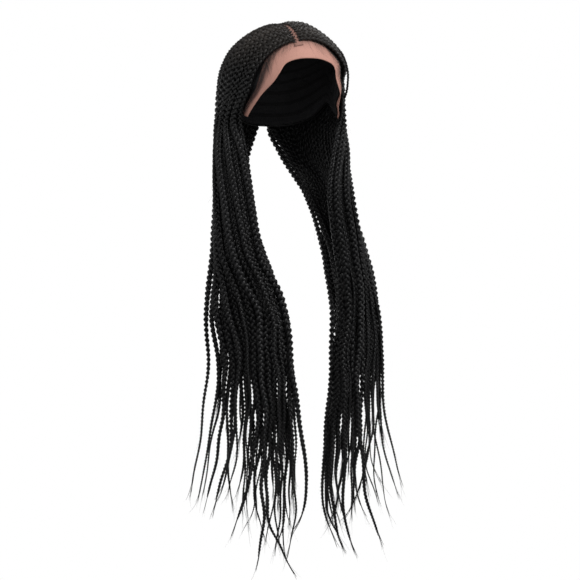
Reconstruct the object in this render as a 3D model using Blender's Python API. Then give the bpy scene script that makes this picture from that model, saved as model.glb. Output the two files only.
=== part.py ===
"""A long braid wig: a net cap, a lace front, and braids parted to fall over both shoulders.

The wearer looks along -Y, the wearer's left is +X, and +Z is up. The origin is the
inside of the cap's crown. Lengths are in metres.
"""

import math
from collections import namedtuple

import bmesh
import bpy
from mathutils import Vector

# The head that the cap fits: an egg, widest behind the ears.
HEAD_WIDTH = 0.142
HEAD_LENGTH = 0.186
CROWN_HEIGHT = 0.095  # from the crown down to the widest level
BROW_NARROWING = 0.08  # share by which the egg is slimmer at the brow than at mid length

# Walls and the clearances between pieces.
CAP_WALL = 0.0015
LACE_WALL = 0.0010
LACE_CLEARANCE = 0.0006  # between cap and lace, whose facets don't line up
SKIN_CLEARANCE = 0.0004  # between the lace and the forehead
SEAT_CLEARANCE = 0.0012  # between a braid's ring and the lace, so that its flats stay clear
BRAID_GAP = 0.0007  # between two braids on the head
CURTAIN_GAP = 0.0016  # between two braids below it
UNDER_GAP = 0.0016  # between the outer braids and the bundle under them, on the head
CURTAIN_UNDER_GAP = 0.0078  # the same below it, where the curtains turn
UNDER_SEAT = 0.0020  # between the cap and that bundle's rings

# The parting lies to the wearer's right of the middle, and runs into a seam down the back of
# the head. Its ends are angles from straight up, and it turns into the seam behind the crown.
PARTING_OFFSET = 0.013
PARTING_WIDTH = 0.003
PARTING_FRONT_ANGLE = 43
PARTING_BACK_ANGLE = 88
LACE_BACK_ANGLE = 24  # where the lace under the parting ends, behind the crown
SEAM_SHARE = 0.5  # share of the braids, from the front, behind which the parting closes

# The braids.
BRAIDS_A_SIDE = 24
ROOT_CROWDING = 0.37  # how much closer the roots lie at the brow than on average, as a share
BRAID_WIDTH = 0.0095
BRAID_FLATNESS = 0.80  # thickness as a share of width
BRAID_TIP_WIDTH = 0.0028
HAIR_LIFT = 0.0155  # how far the braids stand off the cap at the side and back
WIG_DROP = 0.752  # from the crown to the lowest tip
SHORTEST_TAIL = 0.32  # share of the tail's drop that the shortest braid has
TAIL_SPREAD = 0.34  # how far the tips fan out, as a share of the curtain's half width
TAIL_SWAY = 0.0022  # how far a tip strays from its place in the fan

# The curtains that the braids form on the chest.
CURTAIN_WIDTH = 0.118
CURTAIN_DEPTH = 0.043
CURTAIN_SPAN = 0.170  # between the middles of the two curtains
CURTAIN_FORWARD = 0.068  # how far the curtains lie ahead of the middle of the head

# The bundle of braids under the outer ones, one solid a side.
UNDER_DEPTH = 0.012
UNDER_HOLLOW = 0.003  # half thickness of the space left in the middle of a curtain
UNDER_COLUMNS = 12
UNDER_FINGERS = 6
FINGER_DROP = 0.085
UNDER_FIRST_SHARE = 0.27  # the frontmost braid on the head that has others under it

RIGHT, LEFT = -1, 1
SIDE_NAMES = {RIGHT: "right", LEFT: "left"}

# The hairline, and the free edge of the lace ahead of it, from the middle to the ear.
# Azimuths run from the brow to the back of the head, polar angles from the crown down.
LaceRow = namedtuple("LaceRow", "hair_azimuth hair_polar edge_azimuth edge_polar")
LACE_ROWS = [
    LaceRow(0, 43.5, 0, 61),
    LaceRow(17, 44, 18, 62),
    LaceRow(35, 49, 34, 66),
    LaceRow(49, 59, 44, 73),
    LaceRow(55, 71, 50, 79),
    LaceRow(63, 87, 57, 88),
    LaceRow(76, 98, 69, 99),
    LaceRow(87, 106, 81, 108),
]
LACE_UNDER_HAIR = 9  # degrees of lace that the braids cover

# The cap's edge behind the hairline: over the ear and along the nape.
RimRow = namedtuple("RimRow", "azimuth polar")
RIM_ROWS = [
    RimRow(97, 95),
    RimRow(112, 98),
    RimRow(130, 106),
    RimRow(155, 112),
    RimRow(180, 113),
]
CAP_RINGS = 6

# Where the braids' surface goes on the head, in steps from the parting (0) down to the level
# of the temples (1), and the azimuths and polar angles that steer it past the middle.
HEAD_STEPS = [0, 0.16, 0.33, 0.5, 0.67, 0.84, 1]
# Each is for the frontmost and the rearmost braid.
MIDWAY_POLAR = (62, 90)
MIDWAY_AZIMUTH = (61, 173)
TEMPLE_POLAR = (84, 100)
TEMPLE_AZIMUTH = (67, 175)
FRONT_LIFT = 0.14  # the frontmost braid's lift, as a share of HAIR_LIFT
LIFT_SHARE = 0.35  # share of the braids, from the front, over which the lift grows
REAR_LIFT = 0.6  # the rearmost braid's lift, as a share of HAIR_LIFT
RISE_SHARE = 0.62  # share of the way down the head over which it grows

# Sections of the braids' surface below the head. Each is a loop with round ends. Heading is the
# way its front end points, in degrees from straight ahead towards the middle. First and last
# say where the frontmost and the rearmost braid lie, as shares of the way round the loop, from
# its front end over its outer side. Crowd says how much closer the rear braids lie than even.
Section = namedtuple("Section", "drop out front along across heading first last crowd")
# Around the jaw and neck. Drop is a share of CROWN_HEIGHT, front of half HEAD_LENGTH, and the
# others of half HEAD_WIDTH.
COLLAR_SECTIONS = {
    RIGHT: [
        Section(1.36, 0.197, -0.344, 1.056, 1.056, -21, 0.097, 0.455, 0),
        Section(1.80, 0.905, -0.426, 0.93, 0.34, -21, -0.06, 0.555, 0),
    ],
    LEFT: [
        Section(1.36, 0.127, -0.344, 1.09, 1.09, -10, 0.137, 0.475, 0),
        Section(1.80, 0.72, -0.41, 0.873, 0.338, -10, -0.02, 0.58, 0),
    ],
}
# On the shoulder and chest. Drop is a share of the way from the collar down to WIG_DROP, out of
# half CURTAIN_SPAN, front of CURTAIN_FORWARD, along of half CURTAIN_WIDTH and across of half
# CURTAIN_DEPTH.
CURTAIN_SECTIONS = {
    RIGHT: [
        Section(0.10, 0.88, -0.075, 0.98, 1.21, -21, -0.10, 0.52, 0.2),
        Section(0.24, 0.95, 0.46, 0.78, 1.44, -21, -0.15, 0.63, 0.1),
        Section(0.385, 0.94, 0.88, 0.81, 0.93, 69, -0.02, 0.95, 0),
        Section(0.555, 0.95, 1.00, 0.92, 0.79, 69, -0.02, 0.95, 0),
        Section(0.675, 0.86, 1.04, 0.85, 0.65, 69, -0.02, 0.95, 0),
    ],
    LEFT: [
        Section(0.10, 0.59, 0.03, 0.95, 1.30, 5, -0.04, 0.54, 0.2),
        Section(0.24, 0.87, 0.26, 0.85, 1.12, 30, -0.03, 0.72, 0.1),
        Section(0.385, 1.06, 0.43, 0.75, 0.84, 48, -0.02, 0.95, 0),
        Section(0.555, 1.05, 0.50, 0.78, 0.79, 48, -0.02, 0.95, 0),
        Section(0.675, 0.91, 0.44, 0.71, 0.70, 48, -0.02, 0.95, 0),
    ],
}
STATIONS = len(HEAD_STEPS) + len(COLLAR_SECTIONS[RIGHT]) + len(CURTAIN_SECTIONS[RIGHT])

# A braid's width along its drop, as a share of BRAID_WIDTH, where its place allows it.
TaperRow = namedtuple("TaperRow", "drop width")
TAPER_ROWS = [
    TaperRow(0.0, 1.0),
    TaperRow(0.45, 1.0),
    TaperRow(0.60, 0.92),
    TaperRow(0.75, 0.74),
    TaperRow(0.84, 0.55),
    TaperRow(1.0, 0.30),
]
# Where a braid's tail has its rings, as shares of the tail's own length.
TAIL_STEPS = [0.5, 0.92]

# A braid's section, across its width and its thickness.
BRAID_OUTLINE = [(-0.5, 0), (-0.28, 0.5), (0.28, 0.5), (0.5, 0), (0.28, -0.5), (-0.28, -0.5)]

# Turns a braid's number into a share that looks unordered, for lengths and swaying tips.
GOLDEN_SHARE = 0.618034


def remove_everything():
    """Empties the file, so that the wig is all that it holds."""
    for item in list(bpy.data.objects):
        bpy.data.objects.remove(item)


def material(name, color, roughness):
    """A plain shader with a part's own colour and roughness."""
    made = bpy.data.materials.new(name)
    made.use_nodes = True
    shader = made.node_tree.nodes["Principled BSDF"]
    shader.inputs["Base Color"].default_value = (*color, 1)
    shader.inputs["Roughness"].default_value = roughness
    return made


def add_object(name, mesh_maker, finish):
    """Turns a bmesh into a named object with one material."""
    bmesh.ops.recalc_face_normals(mesh_maker, faces=mesh_maker.faces)
    mesh = bpy.data.meshes.new(name)
    mesh_maker.to_mesh(mesh)
    mesh_maker.free()
    mesh.materials.append(finish)
    made = bpy.data.objects.new(name, mesh)
    bpy.context.scene.collection.objects.link(made)
    return made


def add_wall(made, thickness):
    """Gives an open sheet its wall, inwards from the sheet."""
    wall = made.modifiers.new("wall", "SOLIDIFY")
    wall.thickness = thickness
    wall.offset = -1
    wall.use_even_offset = True


def blend(start, end, share):
    return start + (end - start) * share


def smooth_step(share):
    """Goes from 0 to 1 with a level start and end."""
    share = min(max(share, 0.0), 1.0)
    return share * share * (3 - 2 * share)


def read_table(rows, place):
    """A table's second column at a place in its first, on straight lines between rows."""
    for (start, value), (end, next_value) in zip(rows, rows[1:]):
        if place <= end:
            return blend(value, next_value, (place - start) / (end - start))
    return rows[-1][1]


def head_direction(polar, azimuth):
    """A direction from the middle of the head, with both angles in degrees."""
    polar, azimuth = math.radians(polar), math.radians(azimuth)
    around = math.sin(polar)
    return Vector((around * math.sin(azimuth), -around * math.cos(azimuth), math.cos(polar)))


def head_point(direction, offset):
    """The point of the head's egg in a direction, raised by an offset."""
    narrow = 1 + BROW_NARROWING * direction.y
    return Vector(
        (
            (HEAD_WIDTH / 2 + offset) * direction.x * narrow,
            (HEAD_LENGTH / 2 + offset) * direction.y,
            (CROWN_HEIGHT + offset) * direction.z - CROWN_HEIGHT,
        )
    )


def parting_direction(x, angle):
    """The direction of a point of the head beside its middle, at an angle from straight up."""
    across = 2 * x / HEAD_WIDTH
    rest, angle = math.sqrt(1 - across * across), math.radians(angle)
    return Vector((across, rest * math.sin(angle), rest * math.cos(angle)))


def root_direction(side, share):
    """Where a braid leaves the parting. The roots lie closest together at the brow."""
    place = share * (1 - ROOT_CROWDING) + share * share * ROOT_CROWDING
    closing = smooth_step((share - SEAM_SHARE) / (1 - SEAM_SHARE))
    beside = blend(PARTING_WIDTH, BRAID_GAP, closing) / 2
    middle = -PARTING_OFFSET * (1 - closing)
    angle = blend(-PARTING_FRONT_ANGLE, PARTING_BACK_ANGLE, place)
    return parting_direction(middle + side * beside, angle)


def braid_direction(side, share, step):
    """Where the braids' surface runs on the head: on a curve from the parting past a midway
    point to the temples' level. Share goes from the frontmost braid (0) to the rearmost (1)."""
    bend = share * share
    midway = head_direction(blend(*MIDWAY_POLAR, bend), side * blend(*MIDWAY_AZIMUTH, share))
    temple = head_direction(blend(*TEMPLE_POLAR, bend), side * blend(*TEMPLE_AZIMUTH, share))
    rest = 1 - step
    way = root_direction(side, share) * rest**2 + midway * 2 * step * rest + temple * step**2
    return way.normalized()


def hair_lift(share, step):
    """How far the braids' surface stands off the cap because of the braids under it."""
    grown = blend(FRONT_LIFT, 1, smooth_step(share / LIFT_SHARE))
    grown *= blend(1, REAR_LIFT, smooth_step((share - SEAM_SHARE) / (1 - SEAM_SHARE)))
    return HAIR_LIFT * grown * smooth_step(step / RISE_SHARE)


def braid_seat():
    """The offset from the head at which a braid's underside lies."""
    return CAP_WALL + LACE_CLEARANCE + LACE_WALL + SEAT_CLEARANCE


def loop_point(along, across, share, inward):
    """A point on a loop with round ends, and moved inwards. The first coordinate runs to the
    front end, the second to the outer side."""
    radius = min(along, across)
    straight = 2 * (along - radius)
    quarter = math.pi * radius / 2
    travel = share % 1 * (2 * straight + 4 * quarter)
    shift = straight / 2
    if travel < quarter:
        angle = travel / radius
    elif travel < quarter + straight:
        angle, shift = math.pi / 2, shift - (travel - quarter)
    elif travel < 3 * quarter + straight:
        angle, shift = (travel - straight) / radius, -shift
    elif travel < 3 * quarter + 2 * straight:
        angle, shift = 3 * math.pi / 2, travel - 3 * quarter - straight - shift
    else:
        angle = (travel - 2 * straight) / radius
    reach = radius - inward
    return shift + reach * math.cos(angle), reach * math.sin(angle)


def real_section(side, number):
    """A section below the head, with its shares turned into metres."""
    collar = COLLAR_SECTIONS[side]
    if number < len(collar):
        row = collar[number]
        return row._replace(
            drop=row.drop * CROWN_HEIGHT,
            out=row.out * HEAD_WIDTH / 2,
            front=row.front * HEAD_LENGTH / 2,
            along=row.along * HEAD_WIDTH / 2,
            across=row.across * HEAD_WIDTH / 2,
        )
    row = CURTAIN_SECTIONS[side][number - len(collar)]
    return row._replace(
        drop=blend(collar[-1].drop * CROWN_HEIGHT, WIG_DROP, row.drop),
        out=row.out * CURTAIN_SPAN / 2,
        front=row.front * CURTAIN_FORWARD,
        along=row.along * CURTAIN_WIDTH / 2,
        across=row.across * CURTAIN_DEPTH / 2,
    )


def section_point(side, section, share, inward):
    """The point of the braids' surface in a section, moved inwards."""
    crowded = share + section.crowd * share * (1 - share)
    place = blend(section.first, section.last, crowded)
    ahead, outer = loop_point(section.along, section.across, place, inward)
    heading = math.radians(section.heading)
    outward = section.out - ahead * math.sin(heading) + outer * math.cos(heading)
    front = section.front + ahead * math.cos(heading) + outer * math.sin(heading)
    return Vector((side * outward, -front, -section.drop))


def surface_point(side, share, station, inward=0.0):
    """The surface through the middles of the outer braids, at one of its stations."""
    if station >= len(HEAD_STEPS):
        return section_point(side, real_section(side, station - len(HEAD_STEPS)), share, inward)
    step = HEAD_STEPS[station]
    offset = braid_seat() + head_thickness(side, share, step) / 2 + hair_lift(share, step)
    return head_point(braid_direction(side, share, step), offset - inward)


def head_thickness(side, share, step):
    """A braid's thickness on the head, where the braids share the room that there is."""
    half = 0.5 / BRAIDS_A_SIDE
    ends = [
        head_point(braid_direction(side, share + k, step), braid_seat()) for k in (-half, half)
    ]
    return min((ends[1] - ends[0]).length - BRAID_GAP, BRAID_WIDTH) * BRAID_FLATNESS


def braid_frame(side, share, station):
    """A braid's middle, the ways across and out of it, and its width, at a station."""
    half = 0.5 / BRAIDS_A_SIDE
    middle = surface_point(side, share, station)
    across = surface_point(side, share + half, station)
    across -= surface_point(side, share - half, station)
    taper = read_table(TAPER_ROWS, -middle.z / WIG_DROP)
    gap = BRAID_GAP if station < len(HEAD_STEPS) else CURTAIN_GAP
    width = min(across.length - gap, BRAID_WIDTH * taper)
    across.normalize()
    out = middle - surface_point(side, share, station, BRAID_GAP)
    out = (out - across * out.dot(across)).normalized()
    return middle, across, out, width


def tail_drop(side, number):
    """How far a braid's tail hangs below the last section, shorter at the outer edge."""
    share = (number + 0.5) / BRAIDS_A_SIDE
    outer = math.sin(math.pi * share) ** 2
    stray = (number * GOLDEN_SHARE + (0.25 if side == LEFT else 0)) % 1
    short = 1 - 0.55 * outer - 0.45 * stray
    full = WIG_DROP - real_section(side, STATIONS - len(HEAD_STEPS) - 1).drop
    return full * blend(SHORTEST_TAIL, 1, max(short, 0))


def tail_point(side, number, start, step):
    """A point of a braid's tail, which fans out from the curtain and strays a little."""
    section = real_section(side, STATIONS - len(HEAD_STEPS) - 1)
    middle = Vector((side * section.out, -section.front, start.z))
    turn = 2 * math.pi * number * GOLDEN_SHARE
    stray = Vector((math.cos(turn), math.sin(turn), 0)) * TAIL_SWAY
    fan = (start - middle) * TAIL_SPREAD * step**1.4
    return start + fan + stray * step - Vector((0, 0, tail_drop(side, number) * step))


def braid_rings(side, number):
    """The rings of points around a braid, from its root to the end of its tail."""
    share = (number + 0.5) / BRAIDS_A_SIDE
    frames = [braid_frame(side, share, station) for station in range(STATIONS)]
    start, across, out, width = frames[-1]
    for step in TAIL_STEPS:
        tail_width = blend(width, BRAID_TIP_WIDTH, step)
        frames.append((tail_point(side, number, start, step), across, out, tail_width))
    for middle, across, out, width in frames:
        thickness = width * BRAID_FLATNESS
        yield [middle + across * x * width + out * y * thickness for x, y in BRAID_OUTLINE]


def join_rings(shape, first, second):
    """Faces between two rings that have as many points."""
    for i in range(len(first)):
        j = (i + 1) % len(first)
        shape.faces.new((first[i], first[j], second[j], second[i]))


def make_braid(side, number, finish):
    """One outer braid, from a flat root at the parting to a pointed tip."""
    shape = bmesh.new()
    rings = [[shape.verts.new(p) for p in ring] for ring in braid_rings(side, number)]
    for first, second in zip(rings, rings[1:]):
        join_rings(shape, first, second)
    shape.faces.new(rings[0])
    start = braid_frame(side, (number + 0.5) / BRAIDS_A_SIDE, STATIONS - 1)[0]
    tip = shape.verts.new(tail_point(side, number, start, 1))
    for i in range(len(rings[-1])):
        shape.faces.new((rings[-1][i], rings[-1][i - 1], tip))
    add_object(f"braid_{SIDE_NAMES[side]}_{number + 1:02d}", shape, finish)


def under_points(side, share, station):
    """The outer and the inner point of the bundle under the braids, at a station."""
    width = braid_frame(side, share, station)[3]
    gap = UNDER_GAP if station < len(HEAD_STEPS) + 2 else CURTAIN_UNDER_GAP
    skin = width * BRAID_FLATNESS / 2 + gap
    outer = surface_point(side, share, station, skin)
    if station < len(HEAD_STEPS):
        direction = braid_direction(side, share, HEAD_STEPS[station])
        return outer, head_point(direction, CAP_WALL + UNDER_SEAT)
    section = real_section(side, station - len(HEAD_STEPS))
    room = min(section.along, section.across) - UNDER_HOLLOW
    return outer, surface_point(side, share, station, min(skin + UNDER_DEPTH, room))


def make_under_braids(side, first_station, finish):
    """The braids under the outer ones as one solid: a thick sheet that starts on the cap, rolls
    up into the curtain and ends in fingers."""
    shape = bmesh.new()
    rows = []
    last_head = len(HEAD_STEPS) - 1
    margin = 1 / BRAIDS_A_SIDE
    for station in range(first_station, STATIONS):
        on_head = min(1, max(0, (last_head + 2 - station) / 2))
        front = blend(margin, UNDER_FIRST_SHARE, on_head)
        shares = [blend(front, 1 - margin, c / UNDER_COLUMNS) for c in range(UNDER_COLUMNS + 1)]
        pairs = [under_points(side, share, station) for share in shares]
        rows.append([[shape.verts.new(pair[k]) for pair in pairs] for k in (0, 1)])
    for (outer, inner), (next_outer, next_inner) in zip(rows, rows[1:]):
        join_rings(shape, outer + inner[::-1], next_outer + next_inner[::-1])
    for outer, inner in (rows[0], rows[-1]):
        for c in range(UNDER_COLUMNS):
            shape.faces.new((outer[c], outer[c + 1], inner[c + 1], inner[c]))
    add_fingers(shape, rows[-1])
    add_object(f"under_braids_{SIDE_NAMES[side]}", shape, finish)


def add_fingers(shape, row):
    """Draws the sheet's lower rim out into fingers that get slimmer."""
    outer, inner = row
    each = UNDER_COLUMNS // UNDER_FINGERS
    for finger in range(UNDER_FINGERS):
        columns = range(finger * each, (finger + 1) * each)
        rim = [f for c in columns for f in outer[c].link_faces if outer[c + 1] in f.verts]
        rim = [f for f in set(rim) if any(v in inner for v in f.verts)]
        drawn = bmesh.ops.extrude_face_region(shape, geom=rim)["geom"]
        ends = [v for v in drawn if isinstance(v, bmesh.types.BMVert)]
        middle = sum((v.co for v in ends), Vector()) / len(ends)
        stray = (finger * GOLDEN_SHARE) % 1
        fall = Vector((0, 0, -FINGER_DROP * blend(0.7, 1, stray)))
        for vert in ends:
            vert.co = blend(middle, vert.co, 0.45) + fall
        bmesh.ops.delete(shape, geom=rim, context="FACES")


def lace_rows_all_round():
    """The hairline's rows for both sides, from the wearer's right ear to the left one."""
    mirrored = [LaceRow(-r[0], r[1], -r[2], r[3]) for r in LACE_ROWS[:0:-1]]
    return mirrored + LACE_ROWS


def rim_polar(azimuth):
    """The polar angle of the cap's edge at an azimuth on either side."""
    rows = [(row.hair_azimuth, row.hair_polar) for row in LACE_ROWS] + list(RIM_ROWS)
    return read_table(rows, abs(azimuth))


def make_net_cap(finish):
    """The net cap: a dome that ends at the hairline, over the ears and at the nape."""
    rows = [row.hair_azimuth for row in LACE_ROWS] + [row.azimuth for row in RIM_ROWS]
    stops = [0, 8.5, 17, 26, 35, 42] + rows[3:8] + [97, 104, 112, 121, 130, 142, 155, 168, 180]
    azimuths = [-a for a in stops[-1:0:-1]] + stops[:-1]
    shape = bmesh.new()
    crown = shape.verts.new(head_point(Vector((0, 0, 1)), CAP_WALL))
    rings = []
    for ring in range(1, CAP_RINGS + 1):
        share = ring / CAP_RINGS
        points = [
            head_point(head_direction(rim_polar(a) * share, a), CAP_WALL) for a in azimuths
        ]
        rings.append([shape.verts.new(point) for point in points])
    for i in range(len(azimuths)):
        shape.faces.new((crown, rings[0][i - 1], rings[0][i]))
    for first, second in zip(rings, rings[1:]):
        join_rings(shape, first, second)
    add_wall(add_object("net_cap", shape, finish), CAP_WALL)


def lace_columns():
    """Rows of the lace front's points, from under the hair to the free edge, for each column."""
    over_cap = CAP_WALL + LACE_CLEARANCE + LACE_WALL
    on_skin = SKIN_CLEARANCE + LACE_WALL
    rows = lace_rows_all_round()
    columns = []
    for first, second in zip(rows, rows[1:]):
        columns += [first, LaceRow(*(blend(a, b, 0.5) for a, b in zip(first, second)))]
    columns.append(rows[-1])
    for row in columns:
        hair = head_direction(row.hair_polar, row.hair_azimuth)
        edge = head_direction(row.edge_polar, row.edge_azimuth)
        back = head_direction(row.hair_polar - LACE_UNDER_HAIR, row.hair_azimuth)
        reach = [
            (back, over_cap),
            (back.lerp(hair, 0.5), over_cap),
            (hair.lerp(edge, 0.10), over_cap),
            (hair.lerp(edge, 0.34), on_skin),
            (edge, on_skin),
        ]
        yield row, [head_point(way.normalized(), offset) for way, offset in reach]


def make_lace_front(finish):
    """The lace front: a band along the hairline, with a tongue under the parting."""
    shape = bmesh.new()
    columns = [
        (row, [shape.verts.new(point) for point in points]) for row, points in lace_columns()
    ]
    for (_, first), (_, second) in zip(columns, columns[1:]):
        for row in range(len(first) - 1):
            shape.faces.new((first[row], first[row + 1], second[row + 1], second[row]))
    at_parting = min(columns, key=lambda c: abs(c[1][0].co.x + PARTING_OFFSET))
    middle = columns.index(at_parting)
    edge = [columns[c][1][0] for c in (middle - 1, middle, middle + 1)]
    offset = CAP_WALL + LACE_CLEARANCE + LACE_WALL
    start = at_parting[0].hair_polar - LACE_UNDER_HAIR
    steps = 7
    for step in range(1, steps + 1):
        angle = blend(-start, LACE_BACK_ANGLE, step / steps)
        ways = [parting_direction(v.co.x, angle) for v in edge]
        new = [shape.verts.new(head_point(way, offset)) for way in ways]
        for i in range(len(edge) - 1):
            shape.faces.new((edge[i], edge[i + 1], new[i + 1], new[i]))
        edge = new
    add_wall(add_object("lace_front", shape, finish), LACE_WALL)


def main():
    remove_everything()
    hair = material("braid_hair", (0.010, 0.010, 0.011), 0.48)
    net = material("cap_net", (0.015, 0.014, 0.014), 0.80)
    lace = material("lace", (0.42, 0.23, 0.18), 0.75)
    make_net_cap(net)
    make_lace_front(lace)
    for side in (RIGHT, LEFT):
        make_under_braids(side, first_station=3, finish=hair)
        for number in range(BRAIDS_A_SIDE):
            make_braid(side, number, hair)


main()
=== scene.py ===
# %% [markdown]
# # A long braid wig with a lace front
# The frame holds a plain bar for each braid, a cap and a band of lace. Here every bar becomes a
# plait of three strands, and the lace gets its net and its fine hairs.

# %% Load the frame
import math
from collections import namedtuple

import bmesh
import bpy
import numpy as np
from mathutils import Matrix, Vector


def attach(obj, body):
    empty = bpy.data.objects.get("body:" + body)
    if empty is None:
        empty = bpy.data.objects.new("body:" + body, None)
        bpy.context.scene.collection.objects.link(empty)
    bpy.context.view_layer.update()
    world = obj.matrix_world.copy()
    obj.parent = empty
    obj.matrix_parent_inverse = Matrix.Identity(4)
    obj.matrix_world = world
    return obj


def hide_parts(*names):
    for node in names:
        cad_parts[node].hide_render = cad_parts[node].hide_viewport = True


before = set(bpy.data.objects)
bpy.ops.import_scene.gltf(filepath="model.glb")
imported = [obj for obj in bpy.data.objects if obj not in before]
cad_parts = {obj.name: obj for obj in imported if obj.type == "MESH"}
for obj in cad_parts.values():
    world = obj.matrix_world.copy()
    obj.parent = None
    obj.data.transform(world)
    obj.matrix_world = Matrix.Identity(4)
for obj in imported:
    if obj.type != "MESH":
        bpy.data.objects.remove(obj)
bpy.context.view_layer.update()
BODY = "root"
print("nodes in the frame:", len(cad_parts))

# %% [markdown]
# ## The camera
# A long lens from well back keeps the two curtains of hair the same size. It stands a little to
# the wig's right, and only just above its middle.

# %% Place the camera
VIEW_AZIMUTH, VIEW_ELEVATION = math.radians(-21), math.radians(3)
VIEW_DISTANCE = 2.6
VIEW_TARGET = Vector((0.0005, -0.0006, -0.365))
LENS_MM = 115


def direction(azimuth, elevation):
    """The way from the wig to something that stands around it."""
    level = math.cos(elevation)
    return Vector((math.sin(azimuth) * level, -math.cos(azimuth) * level, math.sin(elevation)))


def linked(name, data):
    """A new object in the scene."""
    made = bpy.data.objects.new(name, data)
    bpy.context.scene.collection.objects.link(made)
    return made


def aim(thing, target, way, distance):
    """Stands a camera or a lamp off a target, and turns it to look there."""
    thing.location = target + way * distance
    thing.rotation_euler = (-way).to_track_quat("-Z", "Y").to_euler()


camera = linked("camera", bpy.data.cameras.new("camera"))
camera.data.lens = LENS_MM
aim(camera, VIEW_TARGET, direction(VIEW_AZIMUTH, VIEW_ELEVATION), VIEW_DISTANCE)
bpy.context.scene.camera = camera
bpy.context.scene.view_settings.view_transform = "Standard"
print("camera at", [round(v, 2) for v in camera.location])

# %% [markdown]
# ## Shader maths
# Black hair is all in small changes of gloss, so its shader needs some arithmetic. A small class
# wraps a socket, and each Python operator on it adds a Math node.

# %% Wrap sockets, so that Python's operators add Math nodes
class Wire:
    """A shader's output that can be added to, multiplied and so on."""

    def __init__(self, finish, socket):
        self.finish, self.socket = finish, socket

    def maths(self, operation, *values, **settings):
        settings["operation"] = operation
        return self.finish.node("ShaderNodeMath", settings, dict(enumerate(values)))

    def __add__(self, other):
        return self.maths("ADD", self, other)

    def __sub__(self, other):
        return self.maths("SUBTRACT", self, other)

    def __mul__(self, other):
        return self.maths("MULTIPLY", self, other)

    __radd__, __rmul__ = __add__, __mul__

    def wave(self):
        """A row of humps, one for each pi."""
        return self.maths("ABSOLUTE", self.maths("SINE", self))

    def step(self, start, end):
        """Goes smoothly from 0 to 1 as this goes from start to end."""
        values = {"Value": self, "From Min": start, "From Max": end}
        kind = {"interpolation_type": "SMOOTHSTEP"}
        return self.finish.node("ShaderNodeMapRange", kind, values)


class Finish:
    """A material, and the one method that adds a node to it."""

    def __init__(self, name, **constants):
        self.material = bpy.data.materials.new(name)
        self.material.use_nodes = True
        self.shader = self.material.node_tree.nodes["Principled BSDF"]
        self.feed(self.shader, {key.replace("_", " "): v for key, v in constants.items()})

    def feed(self, node, values):
        """Sets a node's inputs, from sockets or from plain values."""
        for key, value in values.items():
            if isinstance(value, Wire):
                self.material.node_tree.links.new(value.socket, node.inputs[key])
            else:
                node.inputs[key].default_value = value

    def node(self, kind, settings=None, values=None, output=0):
        made = self.material.node_tree.nodes.new(kind)
        for key, value in (settings or {}).items():
            setattr(made, key, value)
        self.feed(made, values or {})
        return Wire(self, made.outputs[output])

    def mix(self, share, first, second):
        values = {"Factor": share, 6: first, 7: second}
        return self.node("ShaderNodeMix", {"data_type": "RGBA"}, values, output=2)

    def noise(self, vector, scale, detail=2):
        values = {"Vector": vector, "Scale": scale, "Detail": detail}
        return self.node("ShaderNodeTexNoise", None, values)

    def bump(self, height, distance, strength=1.0):
        values = {"Height": height, "Distance": distance, "Strength": strength}
        return self.node("ShaderNodeBump", None, values)


print("one class for sockets, one for finishes")

# %% [markdown]
# ## The hair's finish
# Synthetic braiding hair is a soft black with a grey sheen on top. Fine fibres run along each
# strand, so the noise that breaks the sheen is stretched along the strand's own UV map. Towards the
# crown the hair is painted lighter and browner: partly the finer hair's own tone, partly painted
# light from above.

# %% Make the hair's finish
STRAND_MAP = "along_strand"  # metres along a strand, and metres around it
TINT = "tint"  # a share of its own for each strand
FIBRE_LENGTH, FIBRE_WIDTH = 0.012, 0.00035
LOCK_LENGTH, LOCK_WIDTH = 0.020, 0.0012
LOCK_SHARE, TINT_SHARE, FIBRE_SHARE = 0.6, 0.5, 0.3  # in how light the hair is
SHADE_RANGE = (0.35, 1.05)
CROWN_FROM, CROWN_TO = -0.075, -0.008  # heights of the browner top, partly painted light from above
CROWN_SHARE = 0.35  # of that browner, lighter tone, where the hair is darkest
FIBRE_GLOSS, CROWN_GLOSS = 0.22, 0.10  # how much rougher they make it
RELIEF, RELIEF_SHARE = 0.0003, 0.7


def hair_finish(name, dark, light, crown, roughness, sheen):
    hair = Finish(name, Specular_IOR_Level=sheen)
    place = hair.node("ShaderNodeUVMap", {"uv_map": STRAND_MAP})
    tint = hair.node("ShaderNodeAttribute", {"attribute_name": TINT}, output=2)

    def streaks(length, width):
        values = {"Vector": place, "Scale": (1 / length, 1 / width, 1)}
        return hair.noise(hair.node("ShaderNodeMapping", {"vector_type": "VECTOR"}, values), 1.0)

    fibre, lock = streaks(FIBRE_LENGTH, FIBRE_WIDTH), streaks(LOCK_LENGTH, LOCK_WIDTH)
    where = hair.node("ShaderNodeTexCoord", output=3)
    height = hair.node("ShaderNodeSeparateXYZ", None, {"Vector": where}, output=2)
    shade = lock * LOCK_SHARE + tint * TINT_SHARE + fibre * FIBRE_SHARE
    shade = shade.step(*SHADE_RANGE)
    color = hair.mix(shade, dark, light)
    # Painted light: towards the top the colour is mixed to the crown colour, partly the root hair's own
    # browner tone, partly painted light from above.
    top = height.step(CROWN_FROM, CROWN_TO)
    crown_tone_and_light = top * (CROWN_SHARE + shade * (1 - CROWN_SHARE))
    hair.feed(
        hair.shader,
        {
            "Base Color": hair.mix(crown_tone_and_light, color, crown),
            "Roughness": roughness + (fibre - 0.5) * FIBRE_GLOSS + top * CROWN_GLOSS,
            "Normal": hair.bump(fibre * 0.5 + lock, RELIEF, RELIEF_SHARE),
        },
    )
    return hair.material


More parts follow.
